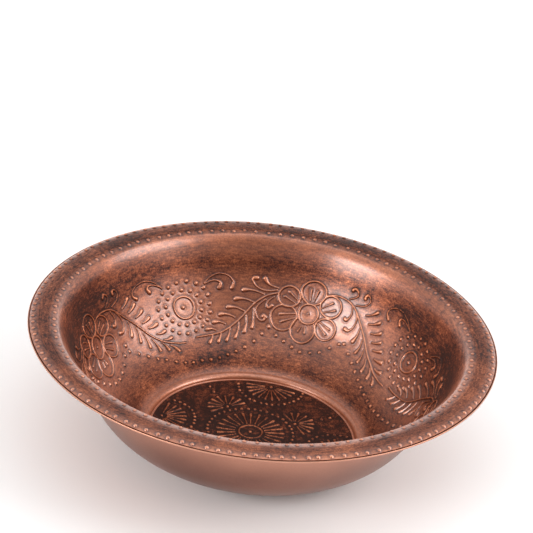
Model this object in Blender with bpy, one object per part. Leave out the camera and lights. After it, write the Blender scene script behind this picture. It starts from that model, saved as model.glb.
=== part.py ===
"""Double-walled copper basin with a wide, gently domed rim.

Two spun sheets nest in each other: an inner pan and a plain outer shell. The shell's edge is
rolled up round the pan's edge, and only that hem holds the two together. Between them there is
air. Both sheets are turned profiles, drawn as (radius, height) points in metres, with the
basin's axis on Z and its foot at height 0.
"""

from math import atan2, cos, hypot, pi, radians, sin

import bmesh
import bpy

# Driving dimensions
RIM_RADIUS = 0.200
SHEET = 0.0008
FLOOR_GAP = 0.0004
SIDE_GAP = 0.0006
FLOOR_HEIGHT = 2 * SHEET + FLOOR_GAP

# The pan's upper face: a flat floor, a rounded ridge round it, and the wall
FLOOR_RADIUS = 0.0900
RIDGE_WIDTH = 0.0046
RIDGE_RISE = 0.0043
WALL_START = (0.0976, 0.0064)

# From there the face is a straight cone to the first point, then a chain of smooth arcs
WALL_FOOT = (0.1172, 0.0193)
WALL_MIDDLE = (0.1386, 0.0408)
WALL_TOP = (0.16775, 0.0963)
SHOULDER = (0.1734, 0.1045)
RIM_INSIDE = (0.1765, 0.1061)
RIM_OUTSIDE = (0.1958, 0.10615)
PAN_EDGE = (0.1984, 0.1053)

# Outer shell
SHELL_FOOT_RADIUS = 0.0915
SHELL_BEND_RADIUS = 0.1972
HEM_SEAT_HEIGHT = 0.10415
HEM_TOP_HEIGHT = 0.10505
HEM_ROUND = 0.0004

# How finely the profiles are drawn and turned
SEGMENTS = 60
RIDGE_STEPS = 4
ARC_STEPS = 4
MERGE_DISTANCE = 0.00001
SHARP_ANGLE = radians(35)

PAN_COLOUR = (0.34, 0.15, 0.10)
PAN_ROUGHNESS = 0.42
SHELL_COLOUR = (0.50, 0.27, 0.20)
SHELL_ROUGHNESS = 0.35


def arc_between(start, end, slope):
    """Points after the start of an arc that leaves it at a slope, and the slope at its end."""
    run = end[0] - start[0]
    rise = end[1] - start[1]
    chord = atan2(rise, run)
    turn = 2 * (chord - slope)
    bend_radius = hypot(run, rise) / (2 * sin(turn / 2))
    points = []
    for i in range(1, ARC_STEPS + 1):
        angle = slope + turn * i / ARC_STEPS
        points.append((start[0] + bend_radius * (sin(angle) - sin(slope)),
                       start[1] + bend_radius * (cos(slope) - cos(angle))))
    return points, slope + turn


def side_line(last):
    """The pan's upper face from the foot of its wall, an arc at a time, to the last point."""
    knots = [WALL_FOOT, WALL_MIDDLE, WALL_TOP, SHOULDER, RIM_INSIDE, RIM_OUTSIDE, PAN_EDGE]
    slope = atan2(WALL_FOOT[1] - WALL_START[1], WALL_FOOT[0] - WALL_START[0])
    line = [WALL_FOOT]
    for start, end in zip(knots, knots[1:knots.index(last) + 1]):
        points, slope = arc_between(start, end, slope)
        line += points
    return line


def ridge_line():
    """The steep inner side of the ridge round the floor, a quarter of an ellipse."""
    turns = [pi / 2 * i / RIDGE_STEPS for i in range(RIDGE_STEPS + 1)]
    return [(FLOOR_RADIUS + RIDGE_WIDTH * (1 - cos(turn)), FLOOR_HEIGHT + RIDGE_RISE * sin(turn))
            for turn in turns]


def set_below(line, distance):
    """A line that runs a distance below another one, which runs outwards."""
    below = []
    for i, (radius, height) in enumerate(line):
        before = line[max(i - 1, 0)]
        after = line[min(i + 1, len(line) - 1)]
        run = after[0] - before[0]
        rise = after[1] - before[1]
        length = hypot(run, rise)
        below.append((max(radius + distance * rise / length, 0), height - distance * run / length))
    return below


def turned(name, upper, lower, material):
    """Turn the sheet between an upper and a lower line, both running outwards from the axis."""
    bm = bmesh.new()
    outline = [bm.verts.new((radius, 0, height)) for radius, height in upper + lower[::-1]]
    edges = [bm.edges.new(pair) for pair in zip(outline, outline[1:])]
    bmesh.ops.spin(bm, geom=outline + edges, cent=(0, 0, 0), axis=(0, 0, 1), angle=2 * pi,
                   steps=SEGMENTS, use_merge=True)
    bmesh.ops.remove_doubles(bm, verts=bm.verts, dist=MERGE_DISTANCE)
    bmesh.ops.recalc_face_normals(bm, faces=bm.faces)
    mesh = bpy.data.meshes.new(name)
    bm.to_mesh(mesh)
    bm.free()
    mesh.materials.append(material)
    mesh.shade_smooth()
    mesh.set_sharp_from_angle(angle=SHARP_ANGLE)
    bpy.context.scene.collection.objects.link(bpy.data.objects.new(name, mesh))


def metal(name, colour, roughness):
    """A plain metal."""
    material = bpy.data.materials.new(name)
    material.use_nodes = True
    shader = material.node_tree.nodes["Principled BSDF"]
    shader.inputs["Base Color"].default_value = (*colour, 1)
    shader.inputs["Roughness"].default_value = roughness
    shader.inputs["Metallic"].default_value = 1
    return material


def build_inner_pan():
    """Flat floor, ridge, wall, shoulder, domed rim and the rim's turned-down edge."""
    upper = [(0, FLOOR_HEIGHT)] + ridge_line() + [WALL_START] + side_line(PAN_EDGE)
    turned("inner_pan", upper, set_below(upper, SHEET),
           metal("aged_copper", PAN_COLOUR, PAN_ROUGHNESS))


def shell_face(foot_height, distance):
    """Flat foot, then alongside the pan's wall and rim to where the shell bends for the hem."""
    foot = [(0, foot_height), (SHELL_FOOT_RADIUS, foot_height)]
    return foot + set_below(side_line(RIM_OUTSIDE), distance)


def build_outer_shell():
    """Foot, wall, shoulder and rim beneath the pan's, and the hem round the pan's edge."""
    upper = shell_face(SHEET, SHEET + SIDE_GAP)
    lower = shell_face(0, 2 * SHEET + SIDE_GAP)

    lip_inside = RIM_RADIUS - SHEET
    lip_middle = RIM_RADIUS - HEM_ROUND
    hem_bottom = HEM_SEAT_HEIGHT - SHEET
    upper += [(SHELL_BEND_RADIUS, HEM_SEAT_HEIGHT),
              (lip_inside, HEM_SEAT_HEIGHT),
              (lip_inside, HEM_TOP_HEIGHT - HEM_ROUND)]
    lower += [(SHELL_BEND_RADIUS, hem_bottom),
              (lip_middle, hem_bottom),
              (RIM_RADIUS, hem_bottom + HEM_ROUND),
              (RIM_RADIUS, HEM_TOP_HEIGHT - HEM_ROUND),
              (lip_middle, HEM_TOP_HEIGHT)]
    turned("outer_shell", upper, lower, metal("satin_copper", SHELL_COLOUR, SHELL_ROUGHNESS))


for old in list(bpy.data.objects):
    bpy.data.objects.remove(old)

build_inner_pan()
build_outer_shell()
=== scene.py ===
"""Looks of a double-walled copper basin: an embossed, aged pan in a plain satin shell.

The pan's visible face is a turned profile with its embossing raised on it point by point. Every
embossed line, leaf and bead is a mark: a path with a width that is pressed up out of the sheet.
Lengths are in metres; the drawn ornament is in millimetres, times MM.
"""

from math import atan2, cos, hypot, pi, radians, sin, tau

import bpy
import numpy as np
from mathutils import Matrix, Vector


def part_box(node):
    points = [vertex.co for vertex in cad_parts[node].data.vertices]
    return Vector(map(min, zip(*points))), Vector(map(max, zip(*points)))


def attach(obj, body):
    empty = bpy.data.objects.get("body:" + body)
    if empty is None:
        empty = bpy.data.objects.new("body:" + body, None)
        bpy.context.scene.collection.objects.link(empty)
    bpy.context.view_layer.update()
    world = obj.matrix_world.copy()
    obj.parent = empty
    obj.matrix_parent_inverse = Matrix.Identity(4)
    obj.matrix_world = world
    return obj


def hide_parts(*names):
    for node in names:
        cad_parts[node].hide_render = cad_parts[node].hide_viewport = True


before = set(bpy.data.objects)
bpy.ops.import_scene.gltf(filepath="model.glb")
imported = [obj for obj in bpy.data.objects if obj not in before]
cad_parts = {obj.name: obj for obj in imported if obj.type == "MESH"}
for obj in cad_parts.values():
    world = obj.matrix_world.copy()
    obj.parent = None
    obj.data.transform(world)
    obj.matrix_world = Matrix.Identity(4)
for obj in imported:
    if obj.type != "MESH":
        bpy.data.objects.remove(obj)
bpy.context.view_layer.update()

MM = 0.001

# ---------------------------------------------------------------- sizes
RIM_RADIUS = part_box("outer_shell")[1][0]
SHEET = 0.8 * MM
FLOOR_GAP = 0.4 * MM
SIDE_GAP = 0.6 * MM
FLOOR = 2 * SHEET + FLOOR_GAP

# The pan's upper face, from the floor out to the edge: a flat floor, a rounded ridge, a cone to the
# foot of the wall, and a chain of arcs over the shoulder and the domed rim
FLOOR_SEAM = 88.5 * MM
FLOOR_RADIUS = 90.0 * MM
RIDGE_WIDTH = 4.6 * MM
RIDGE_RISE = 4.3 * MM
RIDGE_EDGE = (97.45 * MM, FLOOR + RIDGE_RISE)
RIDGE_END = (101.0 * MM, 8.64 * MM)
KNOTS = [(117.2 * MM, 19.3 * MM), (138.6 * MM, 40.8 * MM), (167.75 * MM, 96.3 * MM),
         (173.4 * MM, 104.5 * MM), (176.5 * MM, 106.1 * MM), (195.8 * MM, 106.15 * MM),
         (198.4 * MM, 105.3 * MM)]

# Where the pan's face is split into a wall piece and a rim piece
RIM_SEAM = 174.6 * MM

# The shell: its flat foot, where it bends for the hem that holds the pan's edge, and the hem
SHELL_FOOT = 91.5 * MM
SHELL_BEND = 197.2 * MM
HEM_SEAT = 104.15 * MM
HEM_TOP = 105.05 * MM
HEM_ROUND = 0.4 * MM
HEEL_ROUND = 0.9 * MM

# How aged the copper is, from bare (0) to black (1): at each radius in millimetres in turn
WALL_AGE = ((88, 0.4), (90.5, 0.3), (92, 0.35), (95, 0.38), (98, 0.54), (104, 0.74), (120, 0.6),
            (140, 0.38), (152, 0.5), (162, 0.74), (168, 0.52), (172, 0.44))
RIM_AGE = ((171, 0.36), (174, 0.42), (178, 0.48), (184, 0.74), (190, 0.7), (196, 0.5), (199, 0.3))
FLOOR_AGE = 0.94
# Painted shade: the upper wall is darker on its left and right sides, and the rim darker at its
# back, with painted light at its front. The upper wall is also a little less aged all round
UPPER_WALL = ((132, 0), (148, 1), (172, 1), (176, 0))
UPPER_AGE = -0.02
SIDE_SHADE = 0.24
RIM_EXTRA_AGE = 0.03
RIM_BACK_SHADE = 0.09
# How fine the patina's streaks are: round the axis, and per metre across it
STREAK_ROUND = 12.5
STREAK_ACROSS = 333

# The embossing on the wall. Each repeat: where its flower is, round the bowl in degrees and up from
# the first one's height, and the same for the medallion to its right, from the flower
FLOWER_RADIUS = 143.6 * MM
REPEATS = ((74.2, 0.0, 47.5, 5.2 * MM), (167.1, 3.9 * MM, 46.2, -2.9 * MM),
           (256.8, 1.5 * MM, 44.6, 0.5 * MM), (343.0, 0.5 * MM, 43.0, 1.0 * MM))
EYE_RADIUS = 9.7 * MM
# Each petal: where its middle is, right of the eye and above it, and its radius
PETALS = [(0.6 * MM, 19.9 * MM, 10.6 * MM), (18.6 * MM, 11.4 * MM, 9.5 * MM),
          (-20.2 * MM, 13.0 * MM, 9.8 * MM), (-1.8 * MM, -15.3 * MM, 12.0 * MM),
          (19.3 * MM, -9.0 * MM, 10.0 * MM), (-21.7 * MM, -7.3 * MM, 11.5 * MM)]

# Half the width of each kind of mark, and how high it rises
LINE = 1.2 * MM
STEM = 1.1 * MM
TAIL = 0.85 * MM
HEAD = 2.25 * MM
DOT = 1.9 * MM
BEAD = 1.95 * MM
LINE_RISE = 0.8 * MM
DOT_RISE = 1.1 * MM
BEAD_RISE = 1.05 * MM
SINK = 0.16 * MM

# The two rows of beads on the rim: how many, at what radius, and how far they stray from it
BEAD_ROWS = ((106, 178.0 * MM, 0.45 * MM), (122, 195.6 * MM, 0.2 * MM))
RIM_MIDDLE = 185 * MM

# The ornament on the floor: its middle, and the directions of the suns round it in degrees
FLOOR_CENTRE = (-1.5 * MM, 2.5 * MM)
HALF_SUNS = (-14, 80, 173, 266)
SMALL_SUNS = (29, 121, 212, 302)

# The surroundings: half the floor's side, how far away the lamps stand and the height they face,
# the direction in which the room is dimmest, and the camera's place, its lean below level and its
# roll in radians, and its lens in millimetres
STAGE_HALF = 12.0
LAMP_DISTANCE = 3.0
LAMP_AIM = 0.1
DIM_SIDE = (0.15, -0.91, 0.38)
CAMERA_PLACE = (-0.003827, -1.841681, 1.165453)
CAMERA_LEAN = 0.49642
CAMERA_ROLL = 0.11387
LENS = 168.86

# How many columns of points go round each turned mesh, and across the floor
WALL_COLUMNS = 1920
RIM_COLUMNS = 2400
UNDERSIDE_COLUMNS = 180
SHELL_COLUMNS = 320
FLOOR_COLUMNS = 321


# ---------------------------------------------------------------- profiles
def steps(start, end, count):
    """Evenly spaced angles in degrees, given back in radians."""
    return np.radians(np.linspace(start, end, count))


def arc(start, end, slope, count):
    """Points after the start of an arc that leaves it at a slope, and the slope at its end."""
    run, rise = np.subtract(end, start)
    turn = 2 * (atan2(rise, run) - slope)
    bend_radius = hypot(run, rise) / (2 * sin(turn / 2))
    angle = slope + turn * np.arange(1, count + 1) / count
    return np.stack([start[0] + bend_radius * (np.sin(angle) - sin(slope)),
                     start[1] + bend_radius * (cos(slope) - np.cos(angle))], 1), slope + turn


def side_line(last):
    """The pan's upper face from the foot of its wall, an arc at a time, to the last knot."""
    slope = atan2(KNOTS[0][1] - RIDGE_END[1], KNOTS[0][0] - RIDGE_END[0])
    line = [np.array(KNOTS[:1])]
    for start, end in zip(KNOTS, KNOTS[1:last + 1]):
        points, slope = arc(start, end, slope, 40)
        line.append(points)
    return np.concatenate(line)


def set_below(line, distance):
    """A line that runs a distance below another one, which runs outwards."""
    run, rise = np.gradient(line, axis=0).T
    length = np.hypot(run, rise)
    return line + distance * np.stack([rise, -run], 1) / length[:, None]


def resample(points, spacing):
    """Points at an even spacing along a line."""
    length = np.r_[0, np.cumsum(np.hypot(*np.diff(points, axis=0).T))]
    even = np.linspace(0, length[-1], max(int(round(length[-1] / spacing)), 2) + 1)
    return np.stack([np.interp(even, length, points[:, k]) for k in range(2)], 1)


def soften(points, spacing, reach):
    """Round a line's corners over a reach, keeping its ends."""
    points = resample(points, spacing)
    half = int(3 * reach / spacing)
    kernel = np.exp(-0.5 * (np.arange(-half, half + 1) * spacing / reach) ** 2)
    kernel /= kernel.sum()
    before = 2 * points[0] - points[half:0:-1]
    after = 2 * points[-1] - points[-2:-half - 2:-1]
    padded = np.concatenate([before, points, after])
    return np.stack([np.convolve(padded[:, k], kernel, mode="valid") for k in range(2)], 1)


def pan_face():
    """The pan's upper face from the floor seam to the turned-down edge."""
    turn = steps(0, 90, 30)
    ridge = np.stack([FLOOR_RADIUS + RIDGE_WIDTH * (1 - np.cos(turn)),
                      FLOOR + RIDGE_RISE * np.sin(turn)], 1)
    share = np.linspace(0, 1, 20)[1:, None]
    shoulder = ((1 - share) ** 2 * ridge[-1] + 2 * share * (1 - share) * np.array(RIDGE_EDGE)
                + share ** 2 * np.array(RIDGE_END))
    return soften(np.concatenate([[(FLOOR_SEAM - 5 * MM, FLOOR)], ridge, shoulder,
                                  side_line(len(KNOTS) - 1)]), 0.1 * MM, 0.3 * MM)


class Face:
    """A turned face that can be read at any distance along its profile."""

    def __init__(self, points):
        self.points = points
        self.length = np.r_[0, np.cumsum(np.hypot(*np.diff(points, axis=0).T))]

    def at(self, along):
        """Radius, height and the normal's two parts."""
        radius, height = (np.interp(along, self.length, self.points[:, k]) for k in range(2))
        slope = np.gradient(self.points, self.length, axis=0)
        run, rise = (np.interp(along, self.length, slope[:, k]) for k in range(2))
        size = np.hypot(run, rise)
        return radius, height, -rise / size, run / size

    def where(self, radius):
        """How far along the profile a radius lies."""
        return np.interp(radius, self.points[:, 0], self.length)


PAN = Face(pan_face())


# ---------------------------------------------------------------- marks
def curve(points, count=14):
    """A smooth path through the points, given in millimetres."""
    points = np.array(points, float) * MM
    ends = np.concatenate([[2 * points[0] - points[1]], points, [2 * points[-1] - points[-2]]])
    path = []
    for a, b, c, d in zip(ends, ends[1:], ends[2:], ends[3:]):
        t = np.linspace(0, 1, 9)[:-1, None]
        path.append(0.5 * (2 * b + (c - a) * t + (2 * a - 5 * b + 4 * c - d) * t ** 2
                           + (3 * b - a - 3 * c + d) * t ** 3))
    path = np.concatenate(path + [points[-1:]])
    length = np.r_[0, np.cumsum(np.hypot(*np.diff(path, axis=0).T))]
    even = np.linspace(0, length[-1], count)
    return np.stack([np.interp(even, length, path[:, k]) for k in range(2)], 1)


def line(path, width=LINE, rise=LINE_RISE, ends=True):
    """A raised line of even width, with fading ends unless it is closed."""
    widths = np.full(len(path), width)
    if ends:
        widths[[0, -1]] *= 0.7
    return path, widths, rise, 1.7


def drop(path, tail=TAIL, head=HEAD, rise=DOT_RISE):
    """A leaf: a thin tail that swells into a round head at the path's end."""
    length = np.r_[0, np.cumsum(np.hypot(*np.diff(path, axis=0).T))]
    to_end = (length[-1] - length) / (2.2 * head)
    return path, tail + (head - tail) * np.exp(-to_end ** 2), rise, 1.5


def dot(x, y, size=DOT, rise=DOT_RISE):
    """A round boss."""
    return np.array([(x, y)]), np.array([size]), rise, 1.0


def ring(x, y, radius, width=LINE, rise=LINE_RISE):
    """A raised circle."""
    angle = np.linspace(0, tau, 33)
    return line(np.stack([x + radius * np.cos(angle), y + radius * np.sin(angle)], 1), width,
                rise, ends=False)


def dots_on(path, spacing):
    """Bosses at an even spacing along a path."""
    return [dot(x, y) for x, y in resample(path, spacing)]


def petals():
    """A six-petalled flower round its eye. The petals lie over each other, the first one on top."""
    marks = [dot(0, 0, 1.3 * MM, 0.6 * MM), ring(0, 0, EYE_RADIUS)]
    hidden = [(0.0, 0.0, EYE_RADIUS)]
    for x, y, lobe in PETALS:
        around = atan2(y, x) + np.linspace(-pi, pi, 49)
        path = np.stack([x + lobe * np.cos(around), y + lobe * np.sin(around)], 1)
        clear = np.ones(len(path), bool)
        for other_x, other_y, radius in hidden:
            clear &= np.hypot(path[:, 0] - other_x, path[:, 1] - other_y) > radius
        marks.append(line(path[clear]))
        hidden.append((x, y, lobe))
        outwards = np.array([x, y]) / hypot(x, y)
        sideways = outwards[::-1] * (-1, 1)
        for side in (-1, 1):
            start = outwards * (EYE_RADIUS + 3.2 * MM) + sideways * side * 1.8 * MM
            end = outwards * (hypot(x, y) + 2.5 * MM) + sideways * side * 3.2 * MM
            marks.append(drop(np.linspace(start, end, 6), 0.7 * MM, 1.35 * MM, 0.75 * MM))
    return marks


def leaf_row(count, tails, heads, bow):
    """Leaves side by side. Their tails and their heads each lie on a curve through three points."""
    tails, heads = curve(tails, count), curve(heads, count)
    marks = []
    for tail, head in zip(tails, heads):
        share = np.linspace(0, 1, 8)[:, None]
        way = head - tail
        side = way[::-1] * (-1, 1)
        marks.append(drop(tail + way * share + side * bow * np.sin(pi * share)))
    return marks


def spray(stem, curls, outer, inner):
    """A bent stem with curls near the flower and a row of leaves on both sides."""
    marks = [line(curve(stem, 40), STEM, ends=False)]
    marks += [drop(curve(path)) for path in curls]
    return marks + leaf_row(*outer) + leaf_row(*inner)


def mirrored(marks):
    """The same marks, left for right."""
    return [(path * (-1, 1), *rest) for path, *rest in marks]


def right_spray():
    """From over the flower's right petals down to the next medallion."""
    return spray(
        stem=[(12, 19.8), (20.4, 22.5), (28, 22.3), (36.3, 19.7), (44, 13.8), (53, 4), (62, -6.5),
              (72.5, -17), (80, -22.5), (89, -27.5), (102, -31), (110, -31.2)],
        curls=[[(32.5, 23.5), (38.5, 28), (38, 32.5), (34.5, 34.5), (33, 32.5)],
               [(39.5, 20.5), (47.5, 23), (51, 28), (49, 32.5), (45.8, 32.8), (45.5, 29.5)],
               [(36.5, 18.5), (38.6, 11), (36.5, 5), (33.8, 5.2)],
               [(41.5, 16), (46, 8.5), (46.3, 0.5), (43, -4.5), (38.5, -3.8)]],
        outer=(7, [(52, 15), (69, -5), (87, -24.5)], [(61.5, 21.5), (80, -4), (96.5, -24.5)],
               -0.08),
        inner=(6, [(52.3, 2), (69.5, -18), (91.7, -31)], [(50.4, -11.7), (72, -30), (99, -37)],
               0.08))


def left_spray():
    """From beside the flower's left petals down to the medallion on its left."""
    return mirrored(spray(
        stem=[(30.8, 14.6), (39.2, 11.7), (47.5, 5.3), (54.3, -1.6), (60.8, -9.2), (68.1, -16.5),
              (76.3, -22), (86.1, -26.2), (98.3, -28.5), (110.4, -28.4)],
        curls=[[(31.4, 19.1), (37.7, 21), (40.9, 23.4), (42.8, 26.8)],
               [(32, 16.8), (41.4, 15.1), (48.5, 17.1), (52.6, 21.3), (53.2, 25.6), (49.8, 26.2)],
               [(33.8, 10.5), (38.5, 5.3), (38.9, 0.7), (36.4, -0.8), (34.4, 1.3)],
               [(40.5, 6.9), (47, -0.1), (48.4, -5.8), (45, -11.9), (40.1, -13.2), (37.4, -10.5),
                (40, -9)]],
        outer=(6, [(43, 11.5), (63, -8.5), (88.8, -23.7)], [(61.5, 13), (78.5, -6.5), (98, -22.4)],
               0.08),
        inner=(6, [(50.5, -2.3), (69.7, -20), (92.9, -29.1)], [(51.7, -20.2), (72.5, -32),
                                                               (97.1, -35.6)], -0.06)))


def medallion():
    """A ringed boss inside two ovals of bosses, with a pair of scrolls on each shoulder."""
    marks = [dot(0, 0, DOT * 1.1), ring(0.5 * MM, 0, 10.2 * MM)]
    for count, wide, high, turn in ((14, 18, 16, 0.2), (19, 25.8, 23.4, 0.05)):
        for i in range(count):
            angle = turn + tau * i / count
            marks.append(dot(wide * MM * cos(angle), high * MM * sin(angle)))
    scrolls = [[(20.5, 19.5), (26.5, 24.5), (34.5, 27.3), (42.5, 25), (46.5, 19), (45, 14)],
               [(21, 19), (28.5, 21.3), (33.5, 20.3), (35.5, 17.5), (34, 14.5)],
               [(-18.5, 21), (-25, 27.5), (-34, 31.3), (-42.5, 30.5), (-47.8, 26.5), (-48, 22),
                (-44.5, 18.6)],
               [(-19.5, 22), (-26.5, 25.5), (-32, 25.8), (-33.5, 23.2), (-31.5, 20)]]
    return marks + [drop(curve(path, 24)) for path in scrolls]


def collar():
    """Bosses in an arc under the flower."""
    path = curve([(-34, -17), (-21, -27.5), (-5, -34.5), (11, -34.7), (26, -28.5), (39, -17)], 40)
    return dots_on(path, 10.7 * MM)


def garland():
    """Bosses that hang in a swag under the medallion, from flower to flower."""
    x = np.linspace(-76 * MM, 76 * MM, 90)
    share = np.abs(x) / (78 * MM)
    lift = np.where(x > 0, 28.5 * MM * share ** 3, 33 * MM * share ** 1.8)
    return dots_on(np.stack([x, lift - 51.8 * MM], 1), 11.0 * MM)


def leaning(marks, lift):
    """The same marks, raised more the farther they reach, to end beside a medallion."""
    far = FLOWER_RADIUS * pi / 4
    return [(path + np.stack([0 * path[:, 0], lift * np.abs(path[:, 0]) / far], 1), *rest)
            for path, *rest in marks]


def wall_ornament(repeat):
    """All marks of one repeat, centred on the flower, with the medallion to its right."""
    _, lift, medallion_turn, medallion_lift = REPEATS[repeat]
    _, next_lift, _, next_medallion = REPEATS[(repeat + 1) % len(REPEATS)]
    reach = np.array([radians(medallion_turn) * FLOWER_RADIUS, medallion_lift])
    marks = petals() + collar() + leaning(right_spray(), medallion_lift)
    marks += leaning(left_spray(), next_lift + next_medallion - lift)
    return marks + [(path + reach, *rest) for path, *rest in medallion() + garland()]


def sun(x, y, turn, fan, count, inner, outer):
    """Leaves that fan out round a point, from an inner distance to an outer one."""
    marks = []
    centre = np.array([x, y])
    for angle in turn + np.linspace(-0.5, 0.5, count) * fan:
        way = np.array([cos(angle), sin(angle)])
        marks.append(drop(np.linspace(centre + way * inner, centre + way * outer, 8),
                          0.95 * MM, 1.7 * MM))
    return marks


def polar(centre, radius, turn):
    """A point at a distance and a direction, in degrees, from another one."""
    return centre[0] + radius * cos(radians(turn)), centre[1] + radius * sin(radians(turn))


def floor_ornament():
    """The sunk floor: a sun in a circle of bosses, with half suns and small suns round it."""
    small = 1.8 * MM
    centre = FLOOR_CENTRE
    marks = [dot(*centre, small), ring(*centre, 10.2 * MM, 1.25 * MM, 0.95 * MM)]
    rays = 25
    marks += sun(*centre, 0.1, tau * (rays - 1) / rays, rays, 13.6 * MM, 29 * MM)
    marks += [dot(*polar(centre, 37.3 * MM, turn), small) for turn in np.arange(41) * 360 / 41]
    for turn in HALF_SUNS:
        x, y = polar(centre, 79.5 * MM, turn)
        marks.append(dot(x, y, small))
        marks += sun(x, y, radians(turn + 180), radians(168), 11, 5.6 * MM, 21.5 * MM)
        arc_turn = radians(turn + 180) + steps(-100, 100, 60)
        swag = np.stack([x + 29.5 * MM * np.cos(arc_turn), y + 29.5 * MM * np.sin(arc_turn)], 1)
        marks += [dot(px, py, small) for px, py in resample(swag, 5.3 * MM)
                  if hypot(px, py) < FLOOR_SEAM - 2 * MM]
    for turn in SMALL_SUNS:
        x, y = polar(centre, 43.5 * MM, turn)
        marks.append(dot(x, y, small))
        marks += sun(x, y, radians(turn + 4), radians(188), 9, 4.8 * MM, 17 * MM)
        marks += [dot(*polar(centre, far, turn), small) for far in (70 * MM, 78.5 * MM)]
    return marks


def press(marks, x, y, stretch):
    """Raise the marks on points x, y. Stretch is how much wider x really is at each point.

    Gives the height of every point, and how close it lies to the foot of the nearest mark.
    """
    height = np.zeros_like(x)
    nearest = np.full_like(x, 1.0)
    reach = 3 * MM
    for path, widths, rise, power in marks:
        ends = path[1:] if len(path) > 1 else path
        full = widths.max()
        for a, b, wide_a, wide_b in zip(path, ends, widths, np.r_[widths[1:], widths[-1:]]):
            room = max(wide_a, wide_b) + reach
            low, high = np.minimum(a, b) - room, np.maximum(a, b) + room
            if len(near := np.nonzero((x > low[0] - room) & (x < high[0] + room)
                                      & (y > low[1]) & (y < high[1]))[0]) == 0:
                continue
            scale = stretch[near]
            to_x, to_y = (x[near] - a[0]) * scale, y[near] - a[1]
            run, rise_y = (b[0] - a[0]) * scale, b[1] - a[1]
            t = np.clip((to_x * run + to_y * rise_y) / (run ** 2 + rise_y ** 2 + 1e-12), 0, 1)
            away = np.hypot(to_x - run * t, to_y - rise_y * t)
            wide = wide_a + (wide_b - wide_a) * t
            dome = np.maximum(1 - (away / wide) ** 2, 0) ** power
            height[near] = np.maximum(height[near], rise * (wide / full) ** 0.6 * dome)
            nearest[near] = np.minimum(nearest[near], away - wide)
    return height, nearest


def by_hand(marks, seed):
    """The same marks, each set and struck a little unevenly."""
    rng = np.random.default_rng(seed)
    made = []
    for path, widths, rise, power in marks:
        shift = rng.normal(0, 0.22 * MM, 2)
        made.append((path + shift, widths * rng.uniform(0.93, 1.07), rise * rng.uniform(0.88, 1.08),
                     power))
    return made


def waves(turn, along, seed, shortest, count=14):
    """Uneven swells over a turned face, closed round it. They average 0 and reach about 1 or 2."""
    rng = np.random.default_rng(seed)
    total = np.zeros_like(turn)
    for _ in range(count):
        around = rng.integers(-int(0.9 / shortest), int(0.9 / shortest) + 1)
        total += np.cos(around * turn + rng.uniform(-1, 1) * tau / shortest * along
                        + rng.uniform(0, tau))
    return total / np.sqrt(count / 2)


# ---------------------------------------------------------------- meshes
def mesh_piece(name, points, faces, material, node, normals=None, values=()):
    """A smooth mesh that stands for a CAD node. Values are the point attributes the paint reads."""
    mesh = bpy.data.meshes.new(name)
    mesh.from_pydata(points, [], faces)
    mesh.shade_smooth()
    for key, value in dict(values).items():
        kind = "FLOAT" if value.ndim == 1 else "FLOAT_VECTOR"
        attribute = mesh.attributes.new(key, kind, "POINT")
        attribute.data.foreach_set("value" if value.ndim == 1 else "vector", value.ravel())
    if normals is not None:
        mesh.normals_split_custom_set_from_vertices(normals)
    mesh.materials.append(material)
    piece = bpy.data.objects.new(name, mesh)
    bpy.context.collection.objects.link(piece)
    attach(piece, "root")
    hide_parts(node)


def quads(rows, columns, closed):
    """Faces of a grid of points, row by row, wrapped round when closed."""
    across = np.arange(columns if closed else columns - 1)
    a = (np.arange(rows - 1)[:, None] * columns + across).ravel()
    b = (np.arange(rows - 1)[:, None] * columns + (across + 1) % columns).ravel()
    return np.stack([a, b, b + columns, a + columns], 1)


def turned_ring(face, along, count, height):
    """Points and normals of a turned face with a height pressed up from it.

    The first row and the last only serve the normals beside them and are left out.
    """
    turn = np.arange(count) * tau / count
    radius, level, out, up = (value[:, None] for value in face.at(along))
    reach = radius + out * height
    points = np.stack([reach * np.cos(turn), reach * np.sin(turn), level + up * height], 2)
    around = np.roll(points, -1, 1) - np.roll(points, 1, 1)
    normals = np.cross(around, np.gradient(points, axis=0))[1:-1]
    return points[1:-1], normals / np.linalg.norm(normals, axis=2, keepdims=True)


def split_ring(name, count_pieces, points, normals, values, material):
    """Pieces of a ring, side by side, whose normals agree along their shared sides."""
    rows, columns = points.shape[:2]
    size = columns // count_pieces
    for k in range(count_pieces):
        pick = np.arange(k * size, (k + 1) * size + 1) % columns
        part = {key: value[1:-1, pick].reshape(-1, *value.shape[2:])
                for key, value in values.items()}
        mesh_piece(f"{name}_{k + 1}", points[:, pick].reshape(-1, 3), quads(rows, size + 1, False),
                   material, "inner_pan", normals[:, pick].reshape(-1, 3), part)


def relief(height, nearest):
    """The sheet's surface: the marks, and the slight sink at their feet."""
    sink = SINK * np.exp(-(np.maximum(nearest, 0) / (1.3 * MM)) ** 2)
    return height - sink * np.clip(1 - height / (0.4 * MM), 0, 1)


def aged(radius, table):
    """How aged the copper is at each radius."""
    return np.interp(radius / MM, *zip(*table))


def streaks(turn, along):
    """Coordinates for the patina's streaks, which run round the axis."""
    return np.stack([STREAK_ROUND * np.cos(turn), STREAK_ROUND * np.sin(turn),
                     STREAK_ACROSS * along], -1)


def paint_values(along, turn, height, nearest, age_and_shade):
    """What the paint reads: how raised and how sunk the sheet is, its age with any painted shade,
    and its grain.
    """
    return {"raised": np.clip(height / DOT_RISE, 0, 1),
            "hollow": np.exp(-np.maximum(nearest, 0) / (1.1 * MM)) * (height < 0.35 * MM),
            "age_and_shade": age_and_shade,
            "grain": streaks(turn, along)}


def rows_between(stops):
    """Row positions that step from stop to stop, each pair with its own spacing."""
    rows = [np.linspace(a, b, max(int(round((b - a) / spacing)), 1) + 1)[:-1]
            for (a, spacing), (b, _) in zip(stops, stops[1:])]
    return np.concatenate(rows + [[stops[-1][0]]])


def one_more(rows):
    """The rows with another one before them and after them."""
    return np.r_[2 * rows[0] - rows[1], rows, 2 * rows[-1] - rows[-2]]


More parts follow.
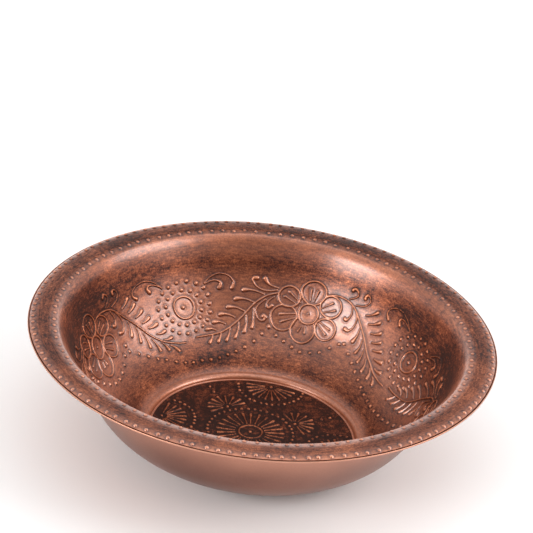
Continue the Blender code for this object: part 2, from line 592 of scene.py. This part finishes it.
def press_beads(turn, across, radius):
    """The two rows of beads on the rim, raised on the points of a turned face."""
    middle = PAN.where(RIM_MIDDLE)
    rng = np.random.default_rng(11)
    marks = []
    for beads, ring_radius, wobble in BEAD_ROWS:
        for i in range(beads):
            place = (i + rng.normal(0, 0.06)) * tau / beads * RIM_MIDDLE
            marks.append(dot(place, PAN.where(ring_radius) - middle + rng.normal(0, wobble),
                             BEAD * rng.uniform(0.92, 1.05), BEAD_RISE * rng.uniform(0.8, 1.05)))
    height, nearest = np.zeros_like(turn), np.ones_like(turn)
    for shift in (0, tau):
        more, closer = press(marks, ((turn - shift) * RIM_MIDDLE).ravel(),
                             (across - middle).ravel(), (radius / RIM_MIDDLE).ravel())
        height = np.maximum(height, more.reshape(turn.shape))
        nearest = np.minimum(nearest, closer.reshape(turn.shape))
    return height, nearest


def build_wall(material):
    """The bowl's wall, from the floor over the ridge to the shoulder, with the four repeats."""
    count = WALL_COLUMNS
    middle = PAN.where(FLOWER_RADIUS)
    end = PAN.where(RIM_SEAM)
    along = one_more(rows_between([(PAN.where(FLOOR_SEAM), 0.5 * MM),
                                   (PAN.where(RIDGE_END[0]), 1.3 * MM),
                                   (middle - 57 * MM, 0.5 * MM), (middle + 42 * MM, 1.2 * MM),
                                   (PAN.where(KNOTS[2][0]), 0.6 * MM), (end, 0)]))
    turn, across = np.meshgrid(np.arange(count) * tau / count, along)
    drift_x, drift_y = (0.5 * MM * waves(turn, across, seed, 34 * MM) for seed in (3, 4))
    radius = PAN.at(across)[0]
    stretch = radius / FLOWER_RADIUS
    height, nearest = press_beads(turn, across, radius)
    for k, (flower_turn, lift, _, _) in enumerate(REPEATS):
        away = (radians(flower_turn) - turn + pi) % tau - pi
        x = away * FLOWER_RADIUS + drift_x
        y = across - middle - lift + drift_y
        ornament = by_hand(wall_ornament(k), 20 + k)
        more, closer = press(ornament, x.ravel(), y.ravel(), stretch.ravel())
        height = np.maximum(height, more.reshape(turn.shape))
        nearest = np.minimum(nearest, closer.reshape(turn.shape))
    swell = 0.10 * MM * waves(turn, across, 7, 40 * MM)
    swell *= np.clip((radius - RIDGE_END[0]) / (10 * MM), 0, 1)
    swell *= np.clip((end - across) / (10 * MM), 0, 1)
    points, normals = turned_ring(PAN, along, count, relief(height, nearest) + swell)
    age_and_shade = aged(radius, WALL_AGE)
    # Painted shade: the upper wall's left and right sides are darkened
    age_and_shade += aged(radius, UPPER_WALL) * (SIDE_SHADE * np.cos(turn) ** 4 + UPPER_AGE)
    values = paint_values(across, turn, height, nearest, age_and_shade)
    split_ring("pan_wall", 3, points, normals, values, material)


def build_rim(material):
    """The wide rim with a row of beads along each side."""
    count = RIM_COLUMNS
    seam, last = PAN.where(RIM_SEAM), PAN.length[-1]
    along = one_more(rows_between([(seam, 0.6 * MM), (seam + 0.6 * MM, 0.45 * MM), (last, 0)]))
    turn, across = np.meshgrid(np.arange(count) * tau / count, along)
    radius = PAN.at(across)[0]
    height, nearest = press_beads(turn, across, radius)
    swell = 0.06 * MM * waves(turn, across, 9, 40 * MM)
    swell *= np.clip((across - seam) / (6 * MM), 0, 1) * np.clip((last - across) / (6 * MM), 0, 1)
    points, normals = turned_ring(PAN, along, count, relief(height, nearest) + swell)
    # Painted shade makes the rim darker at its back, and painted light makes it lighter at its
    # front
    age_and_shade = aged(radius, RIM_AGE) + RIM_BACK_SHADE * np.sin(turn) + RIM_EXTRA_AGE
    split_ring("pan_rim", 3, points, normals,
               paint_values(across, turn, 0.8 * height, nearest, age_and_shade), material)


def build_floor(material):
    """The flat floor, on a square grid of points that is bent into a disc."""
    side = FLOOR_COLUMNS
    a, b = np.meshgrid(np.linspace(-1, 1, side), np.linspace(-1, 1, side))
    wide = np.abs(a) >= np.abs(b)
    reach = np.where(wide, a, b)
    with np.errstate(divide="ignore", invalid="ignore"):
        turn = np.where(wide, pi / 4 * b / a, pi / 2 - pi / 4 * a / b)
    turn = np.nan_to_num(turn)
    x, y = reach * np.cos(turn) * FLOOR_SEAM, reach * np.sin(turn) * FLOOR_SEAM
    height, nearest = press(by_hand(floor_ornament(), 31), x.ravel(), y.ravel(), np.ones(x.size))
    rim = np.clip((FLOOR_SEAM - np.hypot(x, y)) / (2 * MM), 0, 1).ravel()
    raised = relief(height, nearest) * rim
    points = np.stack([x.ravel(), y.ravel(), FLOOR + raised], 1)
    around = np.arctan2(y, x).ravel()
    values = paint_values(np.hypot(x, y).ravel(), around, 1.3 * height, nearest,
                          np.full(x.size, FLOOR_AGE))
    values["grain"] = np.stack([x.ravel() * 90, y.ravel() * 90, 0 * around], 1)
    mesh_piece("pan_floor", points, quads(side, side, False), material, "inner_pan",
               values=values)


def turned_piece(name, line_points, count, material, node):
    """A plain turned mesh whose profile may start or end on the axis."""
    length = np.r_[0, np.cumsum(np.hypot(*np.diff(line_points, axis=0).T))]
    turn, along = np.meshgrid(np.arange(count) * tau / count, length)
    radius, level = line_points[:, :1], line_points[:, 1:]
    points = np.stack([radius * np.cos(turn), radius * np.sin(turn), level + 0 * turn], 2)
    mesh_piece(name, points.reshape(-1, 3), quads(len(line_points), count, True), material, node,
               values={"grain": streaks(turn, along).reshape(-1, 3)})


def build_underside(material):
    """The pan's other face, a sheet's thickness below the plain upper face."""
    along = rows_between([(0, 1.5 * MM), (PAN.length[-1], 0)])
    radius, level, out, up = PAN.at(along)
    below = np.stack([radius - SHEET * out, level - SHEET * up], 1)
    middle = [(0.05 * MM, FLOOR - SHEET)]
    turned_piece("pan_underside", np.concatenate([middle, below, [PAN.points[-1]]]),
                 UNDERSIDE_COLUMNS, material, "inner_pan")


def shell_face(foot_height, distance):
    """One face of the shell from its middle to where it bends for the hem."""
    return np.concatenate([[(0.05 * MM, foot_height), (SHELL_FOOT / 2, foot_height),
                            (SHELL_FOOT, foot_height)], set_below(side_line(5), distance)])


def build_shell(material):
    """The plain shell: foot, wall, shoulder and rim, and its edge hemmed up round the pan's."""
    lip_inside = RIM_RADIUS - SHEET
    bottom = HEM_SEAT - SHEET
    inner = np.concatenate([shell_face(SHEET, SHEET + SIDE_GAP),
                            [(SHELL_BEND, HEM_SEAT), (lip_inside, HEM_SEAT)]])
    inner = resample(inner, 1.5 * MM)
    turn = steps(0, 180, 9)
    lip = np.stack([RIM_RADIUS - SHEET / 2 - SHEET / 2 * np.cos(turn),
                    HEM_TOP - HEM_ROUND + HEM_ROUND * np.sin(turn)], 1)
    turn = steps(0, -90, 7)
    heel = np.stack([RIM_RADIUS - HEEL_ROUND * (1 - np.cos(turn)),
                     bottom + HEEL_ROUND * (1 + np.sin(turn))], 1)
    outer = np.concatenate([shell_face(0, 2 * SHEET + SIDE_GAP), [(RIM_RADIUS - 1 * MM, bottom)]])
    outer = soften(outer, 1 * MM, 1 * MM)
    outline = np.concatenate([inner, lip, heel, outer[::-1]])
    turned_piece("shell", outline, SHELL_COLUMNS, material, "outer_shell")


# ---------------------------------------------------------------- finishes
def node(tree, kind, inputs=(), **settings):
    """A shader node with its settings made and its inputs set or linked."""
    made = tree.nodes.new("ShaderNode" + kind)
    for name, value in settings.items():
        setattr(made, name, value)
    for socket, value in dict(inputs).items():
        if isinstance(value, bpy.types.NodeSocket):
            tree.links.new(value, made.inputs[socket])
        else:
            made.inputs[socket].default_value = value
    return made


def read(tree, name):
    """A point attribute's number."""
    return node(tree, "Attribute", attribute_name=name).outputs["Fac"]


def noise(tree, vector, scale, detail=2, roughness=0.5):
    """Noise about 0.5."""
    return node(tree, "TexNoise", {"Vector": vector, "Scale": scale, "Detail": detail,
                                   "Roughness": roughness}).outputs[0]


def maths(tree, operation, *values):
    """One step of arithmetic."""
    return node(tree, "Math", dict(enumerate(values)), operation=operation).outputs[0]


def spread(tree, value, low, high, start=0.0, end=1.0):
    """A value's range, fitted to another one, with its ends eased."""
    return node(tree, "MapRange", {"Value": value, "From Min": low, "From Max": high,
                                   "To Min": start, "To Max": end},
                interpolation_type="SMOOTHSTEP").outputs[0]


def ramp(tree, value, stops):
    """A colour that depends on a value."""
    made = node(tree, "ValToRGB", {"Fac": value})
    elements = made.color_ramp.elements
    while len(elements) < len(stops):
        elements.new(0.5)
    for element, (place, colour) in zip(elements, stops):
        element.position = place
        element.color = (*colour, 1)
    return made.outputs[0]


def finish(name):
    """A material, its node tree and its shader."""
    material = bpy.data.materials.new(name)
    material.use_nodes = True
    return material, material.node_tree, material.node_tree.nodes["Principled BSDF"]


def aged_copper():
    """Copper under a brown patina, rubbed bright on what stands proud and dark in the hollows.

    Where it is bright it keeps a coat of lacquer, so its highlights are smooth and pale.
    """
    material, tree, shader = finish("aged_copper")
    place = node(tree, "TexCoord").outputs["Object"]
    grain = node(tree, "Attribute", attribute_name="grain").outputs["Vector"]
    # Uneven ageing from coarse to fine, which swings more where the copper is more aged
    cloud = noise(tree, place, 26, 4, 0.55)
    streak = noise(tree, grain, 1.7, 3, 0.6)
    blotch = noise(tree, place, 260, 3, 0.6)
    speck = noise(tree, place, 800, 2, 0.6)
    # The age read here also holds painted shade on the upper wall's sides and the rim's back, and
    # painted light at the rim's front
    age_and_shade = read(tree, "age_and_shade")
    patchy = maths(tree, "MULTIPLY_ADD", age_and_shade, 1.9, 0.15)
    for layer, weight in ((cloud, 0.45), (streak, 0.6), (blotch, 0.3), (speck, 0.6)):
        swing = maths(tree, "MULTIPLY_ADD", layer, weight, -weight / 2)
        age_and_shade = maths(tree, "MULTIPLY_ADD", swing, patchy, age_and_shade)
    rubbed = maths(tree, "MULTIPLY", read(tree, "raised"), 0.5)
    age_and_shade = maths(tree, "SUBTRACT", age_and_shade, rubbed)
    age_and_shade = maths(tree, "MULTIPLY_ADD", read(tree, "hollow"), 0.32, age_and_shade)
    colour = ramp(tree, age_and_shade, [(0.0, (0.74, 0.29, 0.15)), (0.35, (0.47, 0.148, 0.064)),
                              (0.6, (0.25, 0.072, 0.033)), (0.85, (0.105, 0.028, 0.016)),
                              (1.0, (0.04, 0.016, 0.012))])
    tree.links.new(colour, shader.inputs["Base Color"])
    shader.inputs["Metallic"].default_value = 0.85
    rough = spread(tree, age_and_shade, 0.0, 1.0, 0.42, 0.58)
    tree.links.new(rough, shader.inputs["Roughness"])
    shader.inputs["Specular IOR Level"].default_value = 0.25
    # The lacquer also thins where shade is painted, which dims the highlights there too
    lacquer = spread(tree, read(tree, "age_and_shade"), 0.4, 0.75, 1.0, 0.08)
    tree.links.new(lacquer, shader.inputs["Coat Weight"])
    shader.inputs["Coat IOR"].default_value = 1.8
    shader.inputs["Coat Roughness"].default_value = 0.28
    bump = node(tree, "Bump", {"Height": noise(tree, place, 1100, 2, 0.5), "Strength": 0.25,
                               "Distance": 0.0004})
    tree.links.new(bump.outputs[0], shader.inputs["Normal"])
    return material


def satin_copper():
    """Plain copper with a fine satin surface, with painted shade low down and painted light high
    up.
    """
    material, tree, shader = finish("satin_copper")
    place = node(tree, "TexCoord").outputs["Object"]
    tone_and_shade = maths(tree, "ADD", maths(tree, "MULTIPLY", noise(tree, place, 14, 3, 0.5), 0.6),
                 maths(tree, "MULTIPLY", noise(tree, place, 1200, 2, 0.6), 0.4))
    # Painted shade and light: darker low down, where the shell faces the shadowed floor, and
    # lighter up under the rim
    above = node(tree, "SeparateXYZ", {"Vector": place}).outputs["Z"]
    tone_and_shade = maths(tree, "ADD", spread(tree, above, 0.045, 0.1, -0.3, 0.55), tone_and_shade)
    colour = ramp(tree, tone_and_shade, [(0.1, (0.22, 0.092, 0.064)), (0.9, (0.56, 0.27, 0.185))])
    tree.links.new(colour, shader.inputs["Base Color"])
    shader.inputs["Metallic"].default_value = 0.95
    shader.inputs["Roughness"].default_value = 0.33
    bump = node(tree, "Bump", {"Height": noise(tree, place, 1500, 2, 0.5), "Strength": 0.2,
                               "Distance": 0.0003})
    tree.links.new(bump.outputs[0], shader.inputs["Normal"])
    return material


# ---------------------------------------------------------------- surroundings
def build_stage():
    """A plain pale floor."""
    material, _, shader = finish("pale_floor")
    shader.inputs["Base Color"].default_value = (0.94, 0.94, 0.94, 1)
    shader.inputs["Roughness"].default_value = 0.9
    mesh = bpy.data.meshes.new("ground")
    half = STAGE_HALF
    mesh.from_pydata([(-half, -half, 0), (half, -half, 0), (half, half, 0), (-half, half, 0)], [],
                     [(0, 1, 2, 3)])
    mesh.materials.append(material)
    ground = bpy.data.objects.new("ground", mesh)
    bpy.context.collection.objects.link(ground)


def softbox(name, azimuth, elevation, width, height, power):
    """An upright lamp that faces the bowl from a direction in degrees."""
    lamp = bpy.data.lights.new(name, "AREA")
    lamp.shape = "RECTANGLE"
    lamp.size, lamp.size_y = width, height
    lamp.energy = power
    holder = bpy.data.objects.new(name, lamp)
    around, above = radians(azimuth), radians(elevation)
    way = Vector((cos(around) * cos(above), sin(around) * cos(above), sin(above)))
    holder.location = Vector((0, 0, LAMP_AIM)) + way * LAMP_DISTANCE
    holder.rotation_euler = way.to_track_quat("Z", "Y").to_euler()
    bpy.context.collection.objects.link(holder)


def build_light():
    """Two soft lamps, to the right and the left, in a white room.

    The room is brightest at its horizon and its ceiling, and dimmer in front, above the camera.
    """
    softbox("lamp_right", azimuth=-8, elevation=35, width=2.2, height=1.6, power=48)
    softbox("lamp_left", azimuth=-143, elevation=20, width=1.5, height=1.2, power=50)
    world = bpy.data.worlds.new("room")
    world.use_nodes = True
    tree = world.node_tree
    way = node(tree, "TexCoord").outputs["Generated"]
    above = node(tree, "SeparateXYZ", {"Vector": way}).outputs["Z"]
    towards = node(tree, "VectorMath", {0: way, 1: DIM_SIDE}, operation="DOT_PRODUCT")
    front = spread(tree, towards.outputs["Value"], 0.6, 0.95, 1.0, 0.3)
    walls = spread(tree, above, 0.1, 0.6, 1.7, 0.7)
    ceiling = spread(tree, above, 0.75, 0.98, 0.0, 0.8)
    strength = maths(tree, "MULTIPLY", maths(tree, "ADD", walls, ceiling), front)
    tree.links.new(strength, tree.nodes["Background"].inputs["Strength"])
    tree.nodes["Background"].inputs["Color"].default_value = (1, 1, 1, 1)
    bpy.context.scene.world = world
    bpy.context.scene.view_settings.view_transform = "Standard"


def build_camera():
    """A long lens in front of the bowl, above it, rolled a little."""
    lean, roll = CAMERA_LEAN, CAMERA_ROLL
    right = Vector((1, 0, 0))
    forward = Vector((0, cos(lean), -sin(lean)))
    up = right.cross(forward)
    axes = Matrix((right * cos(roll) + up * sin(roll), up * cos(roll) - right * sin(roll),
                   -forward))
    lens = bpy.data.cameras.new("camera")
    lens.sensor_width = 36
    lens.lens = LENS
    camera = bpy.data.objects.new("camera", lens)
    place = Matrix.Translation(CAMERA_PLACE)
    camera.matrix_world = place @ axes.transposed().to_4x4()
    bpy.context.collection.objects.link(camera)
    bpy.context.scene.camera = camera


copper = aged_copper()
build_wall(copper)
build_rim(copper)
build_floor(copper)
build_underside(copper)
build_shell(satin_copper())
build_stage()
build_light()
build_camera()
